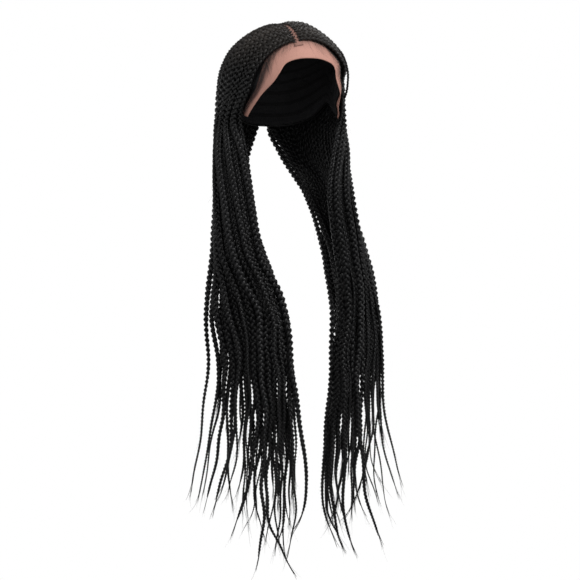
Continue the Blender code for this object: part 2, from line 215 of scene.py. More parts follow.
BRAID_HAIR = hair_finish(
    "black_braiding_hair",
    dark=(0.0014, 0.0014, 0.0016, 1),
    light=(0.0060, 0.0060, 0.0064, 1),
    # crown: the browner top, partly painted light from above
    crown=(0.0200, 0.0165, 0.0140, 1),
    roughness=0.40,
    sheen=0.17,
)
LOOSE_HAIR = hair_finish(
    "fine_loose_hair",
    dark=(0.0090, 0.0075, 0.0070, 1),
    light=(0.0240, 0.0200, 0.0190, 1),
    # crown: the browner top, partly painted light from above
    crown=(0.0240, 0.0190, 0.0160, 1),
    roughness=0.50,
    sheen=0.30,
)
print("made", BRAID_HAIR.name, "and", LOOSE_HAIR.name)

# %% [markdown]
# ## Lay the hair on the head
# The frame's head is the same on both sides, but the real braids lie flatter on the left, and tuck
# in behind that ear. Braids, cap and lace all pass through one function, which moves their points
# by a few millimetres. Its weights rise and fall smoothly, so nothing gets a crease.

# %% Settle points on the left of the head
SIDEWAYS = np.array([math.cos(VIEW_AZIMUTH), math.sin(VIEW_AZIMUTH), 0])
TOWARDS = np.array([math.sin(VIEW_AZIMUTH), -math.cos(VIEW_AZIMUTH), 0])
HEAD_MIDDLE = -0.095
FLATTENED = 0.065  # how far in the flat part lies, as a share of the head's radius
FLAT_FROM, FLAT_TO = (-6, 24), (66, 34)  # in degrees from straight up, towards the left ear
FLAT_BEHIND = (-0.062, -0.036)  # from the hairline back
FLAT_ABOVE = (-0.095, -0.065)
TUCK = 0.0085  # behind the ear the braids lie closer
TUCK_ABOVE, TUCK_BELOW = (-0.045, -0.072), (-0.125, -0.100)
TUCK_SIDE = (0.02, 0.05)
OPENING = 0.0058  # at the left temple the hairline lies further back
OPEN_ABOVE, OPEN_BELOW = (-0.024, -0.066), (-0.160, -0.122)
OPEN_SIDE, OPEN_AHEAD = (0.044, 0.064), (0.002, 0.024)


def unit(vectors):
    length = np.linalg.norm(vectors, axis=-1, keepdims=True)
    return vectors / np.maximum(length, 1e-9)


def ease(values, start, end):
    """Goes smoothly from 0 to 1 as the values go from start to end."""
    share = np.clip((values - start) / (end - start), 0, 1)
    return share * share * (3 - 2 * share)


def settle(points):
    """Moves points on the left of the head to where the real hair lies."""
    left, back, height = (points[..., i] for i in range(3))
    lean = np.degrees(np.arctan2(left, height - HEAD_MIDDLE))
    flat = ease(lean, *FLAT_FROM) * ease(lean, *FLAT_TO)
    flat = flat * ease(back, *FLAT_BEHIND) * ease(height, *FLAT_ABOVE)
    middle = np.array([0, 0, HEAD_MIDDLE])
    points = middle + (points - middle) * (1 - FLATTENED * flat)[..., None]
    height = points[..., 2]
    tuck = ease(height, *TUCK_ABOVE) * ease(height, *TUCK_BELOW) * ease(left, *TUCK_SIDE)
    opened = ease(height, *OPEN_ABOVE) * ease(height, *OPEN_BELOW)
    opened = opened * ease(points @ SIDEWAYS, *OPEN_SIDE) * ease(points @ TOWARDS, *OPEN_AHEAD)
    return points + SIDEWAYS * (OPENING * opened - TUCK * tuck)[..., None]


sample = np.array([0.04, -0.02, -0.02])
print("a point beside the parting moves by mm:", ((settle(sample) - sample) * 1000).round(1))

# %% [markdown]
# ## Read the route of each braid
# A bar in the frame is a stack of rings of six points, closed by one point at its tip. Stepping
# from neighbour to neighbour gives the rings in order, and their middles are the braid's route.

# %% Find the rings of each bar
SIDES = {"right": 1, "left": -1}
LANES = 24
TAIL_RINGS = 3  # two rings and the tip, below the curtain's last section
WELD = 0.00005


def bar_rings(node):
    """The rings of points of a bar, from its root to its tip."""
    shape = bmesh.new()
    shape.from_mesh(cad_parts[node].data)
    bmesh.ops.remove_doubles(shape, verts=shape.verts, dist=WELD)
    shape.verts.index_update()
    ring = [min(shape.verts, key=lambda v: v.co.z)]
    rings, seen = [], set(ring)
    while ring:
        rings.append(np.array([v.co for v in ring]))
        near = {e.other_vert(v) for v in ring for e in v.link_edges} - seen
        seen |= near
        ring = sorted(near, key=lambda v: v.index)
    shape.free()
    return rings[::-1]


class Lanes:
    """The routes of one side's bars: middles, ways out, widths, and the room there is."""

    def __init__(self, side):
        stacks = [bar_rings(f"braid_{side}_{n + 1:02d}") for n in range(LANES)]
        self.middle = settle(np.array([[ring.mean(0) for ring in rings] for rings in stacks]))
        beside = unit(np.gradient(self.middle, axis=0))
        beside[:, -TAIL_RINGS:] = beside[:, -TAIL_RINGS - 1 : -TAIL_RINGS]
        down = unit(np.gradient(self.middle, axis=1))
        self.out = unit(SIDES[side] * np.cross(beside, down))
        self.room = np.linalg.norm(np.gradient(self.middle, axis=0), axis=2)
        across = unit(SIDES[side] * np.cross(down, self.out))
        widths = [[np.ptp(r @ a) for r, a in zip(*pair)] for pair in zip(stacks, across)]
        self.width = np.array(widths)


lanes = {side: Lanes(side) for side in SIDES}
for side, lane in lanes.items():
    print(side, "rings:", lane.middle.shape, "widest mm:", round(lane.width.max() * 1000, 1))

# %% [markdown]
# ## The free tails
# Below the curtain each braid goes its own way: some cross, and some thin out early. The table
# gives the tails as the camera sees them: how far sideways each has got at five heights and at its
# tip, how low that is, and how full the braid still is.

# %% Lay out the tails, in millimetres, from the hairline's braid to the rearmost one
Tail = namedtuple("Tail", "sideways tip_sideways tip_height full")
TAIL_HEIGHTS = [-451, -507, -563, -619, -675]
TAIL_ROWS = {"right": [
    ([1, 4, 2, -2, -5], -6, -734, 0.9),
    ([-2, 6, 15, 19, 9], -2, -692, 1.0),
    ([-9, -6, -8, -9, -13], -19, -724, 0.8),
    ([-19, -15, -15, -19, -20], -13, -711, 0.8),
    ([-29, -26, -27, -30, -26], 9, -751, 1.0),
    ([-39, -33, -34, -36, -36], -47, -741, 1.1),
    ([-47, -43, -46, -55, -72], -81, -697, 1.1),
    ([-57, -54, -57, -58, -57], -54, -687, 0.5),
    ([-60, -58, -60, -68], -72, -644, 0.9),
    ([-69, -71, -76, -89], -100, -644, 0.9),
    ([-78, -78, -82, -93], -109, -671, 1.0),
    ([-83, -86, -93, -103], -114, -665, 0.9),
    ([-100, -103, -113, -121], -132, -657, 0.8),
    ([-107, -113, -118, -128], -139, -657, 0.8),
    ([-95, -99, -107, -117], -123, -650, 0.75),
    ([-81, -82, -85, -82], -75, -669, 0.75),
    ([-72, -74, -72, -79], -85, -652, 0.85),
    ([-61, -60, -62, -61], -64, -678, 0.85),
    ([-58, -53, -48, -50, -44], -32, -710, 0.8),
    ([-47, -41, -39, -43, -54], -61, -689, 0.7),
    ([-36, -32, -26, -20, -25], -32, -714, 0.8),
    ([-26, -22, -16, -9, 1], 6, -689, 0.8),
    ([-15, -11, -6, -4, -8], -19, -717, 0.9),
    ([-5, -1, 1, 5, 5], -8, -738, 0.9),
], "left": [
    ([68, 67, 61, 55, 61], 78, -732, 1.1),
    ([75, 75, 78, 75, 75], 96, -736, 1.0),
    ([83, 85, 82, 74, 61], 53, -699, 0.7),
    ([92, 92, 95, 100, 111], 127, -725, 1.1),
    ([99, 96, 90, 79, 64], 58, -692, 0.6),
    ([106, 103, 110, 102, 78], 68, -692, 0.6),
    ([111, 107, 113, 111], 131, -668, 0.5),
    ([117, 114, 114, 100], 93, -665, 0.7),
    ([121, 120, 123, 132, 142], 145, -685, 0.6),
    ([127, 128, 137, 149], 153, -644, 0.8),
    ([130, 131, 134, 144], 158, -657, 0.7),
    ([125, 124, 121, 118], 125, -676, 0.6),
    ([120, 117, 116, 121], 135, -647, 0.5),
    ([113, 110, 107, 107], 116, -668, 0.7),
    ([106, 100, 96, 89], 86, -640, 0.6),
    ([99, 93, 92, 95], 102, -668, 0.7),
    ([93, 88, 85, 88, 99], 107, -694, 0.7),
    ([88, 83, 82, 78], 69, -669, 0.6),
    ([82, 78, 72, 65, 69], 78, -703, 0.8),
    ([78, 71, 64, 60], 67, -675, 0.8),
    ([74, 67, 60, 57, 62], 69, -701, 0.8),
    ([69, 62, 57, 53, 58], 78, -729, 0.9),
    ([65, 61, 55, 51, 55], 62, -700, 0.9),
    ([62, 60, 53, 50, 53], 72, -725, 1.0),
]}
TAILS = {side: [Tail(*row) for row in rows] for side, rows in TAIL_ROWS.items()}
MM = 0.001


def tail_points(tail):
    """A tail's heights and ways sideways, from the chest to its tip, in metres."""
    heights = TAIL_HEIGHTS[: len(tail.sideways)] + [tail.tip_height]
    return MM * np.array(heights), MM * np.array([*tail.sideways, tail.tip_sideways])


print("longest tail ends at mm:", min(t.tip_height for rows in TAILS.values() for t in rows))

# %% [markdown]
# ## Smooth routes
# Hair never turns a corner, so each route is a smooth curve through its points. It wanders a
# little, because no two braids hang alike. Neighbours lie in front of and behind each other, which
# lets each be fuller than its bar in the frame.

# %% Turn rings and tails into smooth routes
ROUTE_STEP = 0.001
CURTAIN_END = -0.42  # the lowest ring that a route follows lies above this
WANDER_FROM, WANDER_FULL = -0.16, -0.45  # heights over which the wander grows
CURTAIN_WANDER, WANDER_OUTWARD = 0.0012, 0.6  # of each wave, and its share in and out
DRIFT = 0.004  # how far a tip drifts nearer or further off
TAIL_REACH = (-0.146, 0.134)  # how far to the sides tails may spread
FULLNESS = (0.98, 1.32)  # widths as shares of the room, for braids behind and in front
BROADEST = 0.0103
STAGGER = 0.0033  # how far braids lie in front or behind
STAGGER_FROM, STAGGER_FULL = -0.09, -0.15
SLIM_BY_HEIGHT = [  # heights, and the widest that a braid is there
    (-0.75, 0.0028), (-0.675, 0.0043), (-0.619, 0.0054),
    (-0.563, 0.0064), (-0.507, 0.0076), (-0.40, 0.0100),
]
SLIM_BY_END = [  # what is left of the braid, and the widest that it is there
    (0, 0.0022), (0.03, 0.0034), (0.08, 0.0049), (0.16, 0.0067), (0.26, 0.0100),
]
THIN_FROM, THIN_FULL = -0.30, -0.42  # heights over which a thin braid thins out
APART_FROM, APART_FULL = -0.20, -0.37  # heights over which strays leave the curtain
STRAYS = {("right", 0): 0.003, ("right", 12): -0.008, ("right", 13): -0.010, ("left", 23): -0.003}
UNDER_STRAYS = {("right", 11): 0.005, ("right", 12): 0.012, ("right", 13): 0.010, ("left", 23): 0.003}
ROLL_FROM, ROLL_FULL = -0.05, -0.16  # heights over which a braid is free to roll
ROLL_FORWARD = 1.3  # how far a free braid turns to face ahead
ROLL_CHANCE = 0.22  # radians
AHEAD = np.array([0, -1, 0])
chance = np.random.default_rng(11)


def smooth_through(keys, values, places):
    """Values at places, on a smooth curve through the keyed ones."""
    values = values.reshape(len(keys), -1)
    slopes = np.gradient(values, keys, axis=0)
    i = np.clip(np.searchsorted(keys, places) - 1, 0, len(keys) - 2)
    span = (keys[i + 1] - keys[i])[:, None]
    t = (places - keys[i])[:, None] / span
    first = values[i] * (1 + 2 * t) * (1 - t) ** 2 + slopes[i] * span * t * (1 - t) ** 2
    second = values[i + 1] * t * t * (3 - 2 * t) + slopes[i + 1] * span * t * t * (t - 1)
    return first + second


class Route:
    """A braid's smooth way down, with a frame and a width at each millimetre."""

    def __init__(self, middle, out, width, stand_off=0.0):
        keys = np.concatenate([[0], np.cumsum(np.linalg.norm(np.diff(middle, axis=0), axis=1))])
        self.along = np.arange(0, keys[-1], ROUTE_STEP)
        self.middle = smooth_through(keys, middle, self.along)
        self.width = np.interp(self.along, keys, width)
        self.set_frame(smooth_through(keys, out, self.along))
        height = self.middle[:, 2]
        away = stand_off * ease(height, STAGGER_FROM, STAGGER_FULL) + self.wander(WANDER_OUTWARD)
        self.middle = self.middle + self.across * self.wander(1.0)[:, None] + self.out * away[:, None]
        self.free = ease(height, ROLL_FROM, ROLL_FULL)
        self.set_frame(self.out + AHEAD * (ROLL_FORWARD * self.free)[:, None])
        wave = np.sin(2 * np.pi * (self.along / chance.uniform(0.25, 0.5) + chance.uniform()))
        roll = ROLL_CHANCE * (chance.normal() + wave) * self.free
        turned = self.out * np.cos(roll)[:, None] + self.across * np.sin(roll)[:, None]
        self.set_frame(turned)

    def set_frame(self, out):
        """Squares the frame up to the way down."""
        down = unit(np.gradient(self.middle, axis=0))
        self.out = unit(out - down * (out * down).sum(1, keepdims=True))
        self.across = np.cross(self.out, down)

    def wander(self, share):
        """A wander of two slow waves, which grows on the way down."""
        wave = 0
        for length in (chance.uniform(0.06, 0.11), chance.uniform(0.14, 0.22)):
            wave = wave + np.sin(2 * np.pi * (self.along / length + chance.uniform()))
        return wave * CURTAIN_WANDER * share * ease(self.middle[:, 2], WANDER_FROM, WANDER_FULL)

    def slim(self, rows, places):
        """Limits the width to what a table gives."""
        self.width = np.minimum(self.width, np.interp(places, *zip(*rows)))

    def read(self, along, *columns):
        """Each column's vectors at lengths along the route."""
        return [np.stack([np.interp(along, self.along, v) for v in c.T], axis=1) for c in columns]


def with_tail(middle, out, width, heights, sideways):
    """Follows a lane's rings to the chest, and then a tail of its own."""
    kept = middle[:, 2] > CURTAIN_END
    last = kept.argmin() - 1
    lower = middle[last - 3 :]
    depth = np.interp(-heights, -lower[:, 2], lower @ TOWARDS)
    depth = depth + chance.normal(0, DRIFT) * np.linspace(0, 1, len(depth))
    reach = (sideways * SIDEWAYS[0] - np.array(TAIL_REACH)[:, None]) / -TOWARDS[0]
    depth = np.clip(depth, *np.sort(reach, axis=0))
    tail = sideways[:, None] * SIDEWAYS + depth[:, None] * TOWARDS
    tail[:, 2] = heights
    out = np.concatenate([out[kept], np.repeat(out[last : last + 1], len(tail), axis=0)])
    width = np.concatenate([width[kept], np.full(len(tail), BROADEST)])
    return np.concatenate([middle[kept], tail]), out, width


def apart(middle, shift):
    """Moves a route's points sideways, more and more from the collar to the chest."""
    return middle + SIDEWAYS * (shift * ease(middle[:, 2], APART_FROM, APART_FULL))[:, None]


def outer_route(side, lane):
    """The way of one outer braid, with its width."""
    rows, tail = lanes[side], TAILS[side][lane]
    in_front = lane % 2
    width = np.minimum(rows.room[lane] * FULLNESS[in_front], BROADEST)
    middle = apart(rows.middle[lane], STRAYS.get((side, lane), 0))
    keys = with_tail(middle, rows.out[lane], width, *tail_points(tail))
    route = Route(*keys, stand_off=STAGGER * (2 * in_front - 1))
    height = route.middle[:, 2]
    route.slim(SLIM_BY_HEIGHT, height)
    route.slim(SLIM_BY_END, route.along[-1] - route.along)
    route.width = route.width * (1 + (tail.full - 1) * ease(height, THIN_FROM, THIN_FULL))
    return route


outer = {side: [outer_route(side, lane) for lane in range(LANES)] for side in SIDES}
longest = max(route.along[-1] for routes in outer.values() for route in routes)
print("longest route in m:", round(longest, 3))

# %% [markdown]
# ## A bundle of tubes
# A wig has hundreds of strands, and one object for each would be slow. A bundle collects many
# tubes as arrays and turns them into one mesh, with a UV map that runs along each strand.

# %% Collect tubes in a bundle
MAP_SPACING = 0.01  # between two tubes on the UV map


class Bundle:
    """Tubes with an oval section, gathered for one mesh."""

    def __init__(self):
        self.points, self.faces, self.maps, self.tints = [], [], [], []
        self.count = 0

    def add(self, middle, across, out, reach, sides, tints):
        """Adds tubes. Each array has a row for a tube and a column for a ring."""
        tubes, rings = middle.shape[:2]
        down = np.gradient(middle, axis=1)
        hand = np.sign((np.cross(across, out) * down).sum((1, 2)))[:, None, None, None]
        turn = 2 * np.pi * np.arange(sides) / sides
        wide = across[:, :, None] * np.cos(turn)[:, None] * reach[:, :, None, :1]
        deep = out[:, :, None] * np.sin(turn)[:, None] * reach[:, :, None, 1:] * hand
        self.points.append((middle[:, :, None] + wide + deep).reshape(-1, 3))
        self.tints.append(np.repeat(tints, rings * sides))
        steps = np.linalg.norm(np.diff(middle, axis=1), axis=2)
        along = np.concatenate([np.zeros((tubes, 1)), np.cumsum(steps, axis=1)], axis=1)
        girth = 2 * np.pi * np.median(reach) / sides
        number = self.count + np.arange(tubes * rings * sides).reshape(tubes, rings, sides)
        ahead = np.roll(number, -1, axis=2)
        quads = np.stack([number[:, :-1], ahead[:, :-1], ahead[:, 1:], number[:, 1:]], axis=-1)
        self.faces += quads.reshape(-1, 4).tolist()
        near = np.arange(sides) * girth
        spot = np.zeros((tubes, rings - 1, sides, 4, 2))
        spot[..., :2, 0] = along[:, :-1, None, None]
        spot[..., 2:, 0] = along[:, 1:, None, None]
        spot[..., 0, 1] = spot[..., 3, 1] = near + MAP_SPACING * np.arange(tubes)[:, None, None]
        spot[..., 1, 1] = spot[..., 2, 1] = spot[..., 0, 1] + girth
        self.maps.append(spot.reshape(-1, 2))
        self.faces += number[:, 0, ::-1].tolist() + number[:, -1].tolist()
        self.maps.append(np.zeros((2 * tubes * sides, 2)))
        self.count += number.size

    def make(self, name, finish):
        """Turns the bundle into an object that rides on the wig."""
        mesh = bpy.data.meshes.new(name)
        mesh.from_pydata(np.concatenate(self.points), [], self.faces)
        chart = mesh.uv_layers.new(name=STRAND_MAP)
        chart.data.foreach_set("uv", np.concatenate(self.maps).astype(np.float32).ravel())
        tint = mesh.attributes.new(TINT, "FLOAT", "POINT")
        tint.data.foreach_set("value", np.concatenate(self.tints).astype(np.float32))
        mesh.shade_smooth()
        mesh.materials.append(finish)
        made = linked(name, mesh)
        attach(made, BODY)
        print(name, "has", sum(len(f) - 2 for f in self.faces), "triangles")
        return made


# %% [markdown]
# ## Plaits
# Each of a plait's three strands swings from edge to edge, and dips under its neighbours twice as
# often as it swings. A third of a turn apart, they never meet. A strand is plump where it lies on
# top, and pinched where it is tucked under. A slim braid has short stitches.

# %% Plait three strands along a route
# widths, and the length of a full swing as a share of each
STITCH_BY_WIDTH = [(0.003, 3.5), (0.006, 3.0), (0.009, 2.65), (0.011, 2.35)]
SWING, DIP = 0.265, 0.190  # how far a strand moves across and out, as shares of the width
STRAND_WIDE, STRAND_DEEP = 0.250, 0.215
PINCH = 0.18
UNEVEN, UNEVEN_RATE = 0.05, 0.37  # slow changes in plumpness, and radians of them for each ring
CLOSED, CLOSING_RINGS = 0.25, 8  # how a plait narrows at its end
ROOT_TAPER = 0.012  # over this length a braid grows to its full width
ROOT_SHARE = 0.35
SLIMMEST = 0.0022
RINGS_BY_WIDTH = [(0.0040, 7), (0.0080, 10)]  # rings in a strand's full swing


def plait(bundle, route, start, end, sides, detail=1.0, swell=1.0):
    """Adds a route's three strands, from one length along it to another."""
    width = np.maximum(route.width * swell, SLIMMEST)
    width = width * (ROOT_SHARE + (1 - ROOT_SHARE) * ease(route.along, start, start + ROOT_TAPER))
    swing_length = np.interp(width, *zip(*STITCH_BY_WIDTH)) * width
    turns = np.concatenate([[0], np.cumsum(ROUTE_STEP / swing_length[:-1])])
    rings = np.interp(width, *zip(*RINGS_BY_WIDTH)) * detail
    rings = np.concatenate([[0], np.cumsum(np.diff(turns) * rings[:-1])])
    first, last = np.interp([start, end], route.along, rings)
    count = int(last - first)
    along = np.interp(np.linspace(first, last, count), rings, route.along)
    phase = np.interp(along, route.along, turns)
    middle, across, out = route.read(along, route.middle, route.across, route.out)
    wide = np.interp(along, route.along, width)
    psi = 2 * np.pi * (phase[None] + np.arange(3)[:, None] / 3 + chance.uniform())
    shift = across * (SWING * np.sin(psi) * wide)[..., None]
    shift = shift + out * (DIP * np.sin(2 * psi) * wide)[..., None]
    uneven = UNEVEN * np.sin(np.arange(count) * UNEVEN_RATE + chance.uniform(0, 6))
    plump = 1 + uneven + PINCH * np.sin(2 * psi)
    closing = np.minimum(1, CLOSED + np.arange(count)[::-1] / CLOSING_RINGS)
    reach = (wide * closing * plump)[..., None] * np.array([STRAND_WIDE, STRAND_DEEP])
    frames = (np.broadcast_to(v[None], (3, count, 3)) for v in (across, out))
    tints = np.clip(chance.normal(0.5, 0.16) + chance.normal(0, 0.12, 3), 0, 1)
    bundle.add(middle[None] + shift, *frames, reach, sides, tints)


GROUP = 8  # braids in one piece
SWELL = 0.04  # how much braids differ in width
LOOSE_END = (0.016, 0.036)  # the end of a tail that isn't braided
loose_from = {side: [] for side in SIDES}
for side, routes in outer.items():
    for first in range(0, LANES, GROUP):
        bundle = Bundle()
        for route in routes[first : first + GROUP]:
            end = route.along[-1] - chance.uniform(*LOOSE_END)
            plait(bundle, route, 0.0, end, sides=5, swell=chance.normal(1.0, SWELL))
            loose_from[side].append(end)
        piece = bundle.make(f"plaits_{side}_{first // GROUP + 1}", BRAID_HAIR)
        names = [f"braid_{side}_{lane + 1:02d}" for lane in range(first, first + GROUP)]
        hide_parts(*names)

# %% [markdown]
# ## The layer underneath
# Under the outer braids a second layer closes the gaps. Its braids run midway between two outer
# routes, a braid's thickness further in, and end above the outer tails.

# %% Plait the layer underneath
UNDER_INWARD, UNDER_ROOM = 0.0068, 0.9  # how far in, and the most, as a share of the width above
UNDER_SWELL, UNDER_DETAIL = 0.06, 0.85
UNDER_START_RING = 3  # for braids that leave from the side of the head
FRONT_LANES, FRONT_START_RING = 6, 6
UNDER_FULLNESS, UNDER_BROADEST = 1.4, 0.0125
UNDER_SLIM_BY_END = [(0, 0.0022), (0.05, 0.0042), (0.12, 0.0066), (0.20, 0.0095), (0.28, 0.0125)]
OUTWARD_LANES = {"right": range(7, 17), "left": range(5, 14)}
INNER_END, OUTER_END = (-0.700, -0.600), (-0.590, -0.500)  # heights at which they end


def under_route(side, lane):
    """The way of one braid underneath, with its width."""
    rows = lanes[side]
    first = FRONT_START_RING if lane < FRONT_LANES else UNDER_START_RING
    pair = slice(lane, lane + 2)
    middle, out = (v[pair, first:].mean(0) for v in (rows.middle, rows.out))
    inward = np.minimum(UNDER_INWARD, rows.width[lane, first:] * UNDER_ROOM)
    width = np.minimum(rows.room[lane, first:] * UNDER_FULLNESS, UNDER_BROADEST)
    end = chance.uniform(*(OUTER_END if lane in OUTWARD_LANES[side] else INNER_END))
    marks = MM * np.array(TAIL_HEIGHTS[:4])
    sideways = np.mean([tail_points(tail)[1][:4] for tail in TAILS[side][pair]], axis=0)
    heights = np.append(marks[marks > end + 0.02], end)
    sideways = np.interp(-heights, -marks, sideways)
    shift = UNDER_STRAYS.get((side, lane), 0)
    middle = apart(middle - unit(out) * inward[:, None], shift)
    keys = with_tail(middle, out, width, heights, sideways + shift)
    route = Route(*keys)
    route.width = np.where(route.middle[:, 2] > CURTAIN_END, route.width, UNDER_BROADEST)
    route.slim(UNDER_SLIM_BY_END, route.along[-1] - route.along)
    return route


under = {side: [under_route(side, lane) for lane in range(LANES)] for side in SIDES}
for side, routes in under.items():
    bundle = Bundle()
    for route in routes:
        end = route.along[-1] - chance.uniform(*LOOSE_END)
        swell = chance.normal(1.0, UNDER_SWELL)
        plait(bundle, route, 0.0, end, sides=4, detail=UNDER_DETAIL, swell=swell)
        loose_from[side].append(end)
    piece = bundle.make(f"under_plaits_{side}", BRAID_HAIR)
    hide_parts(f"under_braids_{side}")

# %% [markdown]
# ## Loose ends
# A synthetic braid isn't tied at its tip: the last few centimetres are loose and thin out to a
# point, with a few finer hairs that part from it.

# %% Let the tips run out in wisps
MAIN_WISPS, FINE_WISPS = 3, 3
WISP_RINGS = 12
WISPS_HELD = 0.012  # how far the loose hairs start inside the plait
MAIN_RADIUS = (0.20, 0.32)  # as shares of the plait's width
FINE_RADIUS, FINE_LENGTH = (0.00015, 0.0003), (0.016, 0.036)
HAIR_ASIDE = [0.31, 0.93, 0.2]  # a way that no hair runs along


def hairs(bundle, paths, radius, sides=3):
    """Adds thin tubes along paths, which thin out to nothing at their ends."""
    share = np.linspace(0, 1, paths.shape[1])
    down = unit(np.gradient(paths, axis=1))
    side_way = unit(np.cross(down, np.broadcast_to(HAIR_ASIDE, down.shape)))
    other = np.cross(down, side_way)
    reach = radius[:, None] * (1.03 - share) ** 0.7
    tints = chance.uniform(0.2, 1.0, len(paths))
    bundle.add(paths, side_way, other, np.repeat(reach[..., None], 2, axis=2), sides, tints)


def sprays(start, way, bend, length, rings=WISP_RINGS):
    """Paths that leave along a way, and bend more and more."""
    share = np.linspace(0, 1, rings)
    path = start[:, None] + way[:, None] * (share * length[:, None])[..., None]
    return path + bend[:, None] * (share**2 * length[:, None])[..., None]


def tip_wisps(bundle, route, end):
    """The loose end of one braid."""
    held, tip = np.searchsorted(route.along, [end - WISPS_HELD, route.along[-1]])
    share = np.linspace(0, 1, WISP_RINGS)
    along = np.interp(share, [0, 1], route.along[[held, tip - 1]])
    (middle,) = route.read(along, route.middle)
    spread = chance.normal(0, 0.0016, (MAIN_WISPS, 1, 3)) * share[:, None] ** 1.5
    paths = middle[None] + chance.normal(0, 0.0003, (MAIN_WISPS, 1, 3)) + spread
    width = float(np.interp(end, route.along, route.width))
    hairs(bundle, paths, width * chance.uniform(*MAIN_RADIUS, MAIN_WISPS))
    down = unit(middle[-1] - middle[0])
    starts = middle[chance.integers(2, WISP_RINGS - 3, FINE_WISPS)]
    way = unit(down + chance.normal(0, 0.05, (FINE_WISPS, 3)))
    bend = chance.normal(0, 0.11, (FINE_WISPS, 3)) * [1, 1, 0.2]
    length = chance.uniform(*FINE_LENGTH, FINE_WISPS)
    hairs(bundle, sprays(starts, way, bend, length), chance.uniform(*FINE_RADIUS, FINE_WISPS))


for side in SIDES:
    bundle = Bundle()
    for route, end in zip(outer[side] + under[side], loose_from[side]):
        tip_wisps(bundle, route, end)
    bundle.make(f"wispy_tips_{side}", BRAID_HAIR)

# %% [markdown]
# ## Flyaway hairs
# Single hairs work loose all along a braid, and more so further down. They stay close to it.

# %% Scatter flyaway hairs
FLYAWAYS = 260  # a side
FLYAWAY_FROM, FLYAWAY_TO = 0.16, 0.93  # along the route, as shares of it
FLYAWAY_RADIUS, FLYAWAY_LENGTH, FLYAWAY_LEAN = (0.00008, 0.00014), (0.010, 0.026), (0.10, 0.32)
for side, routes in outer.items():
    bundle = Bundle()
    picked = chance.integers(0, LANES, FLYAWAYS)
    places = chance.uniform(0, 1, FLYAWAYS) ** 0.7
    spots, ways = [], []
    for lane, place in zip(picked, places):
        route = routes[lane]
        i = int(len(route.along) * (FLYAWAY_FROM + (FLYAWAY_TO - FLYAWAY_FROM) * place))
        turn = chance.uniform(0, 2 * np.pi)
        beside = route.across[i] * np.cos(turn) + route.out[i] * np.sin(turn)
        spots.append(route.middle[i] + beside * route.width[i] * 0.4)
        down = unit(route.middle[i + 8] - route.middle[i])
        ways.append(down + beside * chance.uniform(*FLYAWAY_LEAN))
    bend = np.array([0, 0, -0.25]) + chance.normal(0, 0.12, (FLYAWAYS, 3))
    length = chance.uniform(*FLYAWAY_LENGTH, FLYAWAYS)
    paths = sprays(np.array(spots), unit(np.array(ways)), bend, length, rings=7)
    hairs(bundle, paths, chance.uniform(*FLYAWAY_RADIUS, FLYAWAYS))
    bundle.make(f"flyaways_{side}", LOOSE_HAIR)

# %% [markdown]
# ## A loose strand
# One slim strand has slipped out at the left temple. It bows away from the others, and joins them
# again lower down.

# %% Plait the loose strand
LOOSE_WIDTH = 0.0036
LOOSE_WAY = [
    # millimetres sideways and towards the camera, and its height
    (62, 12, -20), (72, 12, -35), (78, 11, -49), (81, 9, -62),
    (81, 6, -76), (79, 1, -90), (75, -5, -105),
]
sideways, towards, heights = MM * np.array(LOOSE_WAY, dtype=float).T[..., None]
middle = sideways * SIDEWAYS + towards * TOWARDS + heights * np.array([0, 0, 1])
spots = np.concatenate([route.middle for route in outer["left"]])
for end in (0, -1):  # both ends go into the nearest plait
    middle[end] = spots[np.linalg.norm(spots - middle[end], axis=1).argmin()]
out = np.repeat(TOWARDS[None], len(middle), axis=0)
route = Route(middle, out, np.full(len(middle), LOOSE_WIDTH))
print("the loose strand joins at", middle[[0, -1]].round(3).tolist())
bundle = Bundle()
plait(bundle, route, 0.0, route.along[-1], sides=5)
bundle.make("loose_strand", BRAID_HAIR)

# %% [markdown]
# ## The shape of the head
# The cap and the lace lie on the egg that the frame's own two were built on. Two angles give a
# point on it: how far round from the brow, and how far down from the crown.

# %% Describe the head's egg
HEAD_WIDTH, HEAD_LENGTH, CROWN_HEIGHT = 0.142, 0.186, 0.095
BROW_NARROWING = 0.08


def head_way(polar, azimuth):
    """Directions from the middle of the head, from angles in degrees."""
    polar, azimuth = np.radians(polar), np.radians(azimuth)
    around = np.sin(polar)
    return np.stack([around * np.sin(azimuth), -around * np.cos(azimuth), np.cos(polar)], axis=-1)


def head_point(way, offset):
    """Points of the egg in directions, raised by an offset."""
    way = unit(way)
    narrow = 1 + BROW_NARROWING * way[..., 1]
    x = (HEAD_WIDTH / 2 + offset) * way[..., 0] * narrow
    y = (HEAD_LENGTH / 2 + offset) * way[..., 1]
    z = (CROWN_HEIGHT + offset) * way[..., 2] - CROWN_HEIGHT
    return settle(np.stack([x, y, z], axis=-1))


def sheet_object(name, points, finish, chart, thickness, closed=False):
    """A grid of points as a thin sheet with a UV map. Closed joins its last column to its first."""
    rows, columns = points.shape[:2]
    number = np.arange(rows * columns).reshape(rows, columns)
    if closed:
        number = np.concatenate([number, number[:, :1]], axis=1)
    faces = np.stack([number[:-1, :-1], number[1:, :-1], number[1:, 1:], number[:-1, 1:]], axis=-1)
    mesh = bpy.data.meshes.new(name)
    mesh.from_pydata(points.reshape(-1, 3), [], faces.reshape(-1, 4).tolist())
    spots = np.stack([chart[:-1, :-1], chart[1:, :-1], chart[1:, 1:], chart[:-1, 1:]], axis=2)
    mesh.uv_layers.new(name=STRAND_MAP).data.foreach_set("uv", spots.astype(np.float32).ravel())
    mesh.materials.append(finish)
    made = linked(name, mesh)
    wall = made.modifiers.new("wall", "SOLIDIFY")
    wall.thickness, wall.offset = thickness, 0
    mesh.shade_smooth()
    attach(made, BODY)
    return made


def cloth_area(points):
    """The area in square metres of a grid of points."""
    first, second = points[1:, 1:] - points[:-1, :-1], points[:-1, 1:] - points[1:, :-1]
    return float(round(np.linalg.norm(np.cross(first, second), axis=-1).sum() / 2, 6))


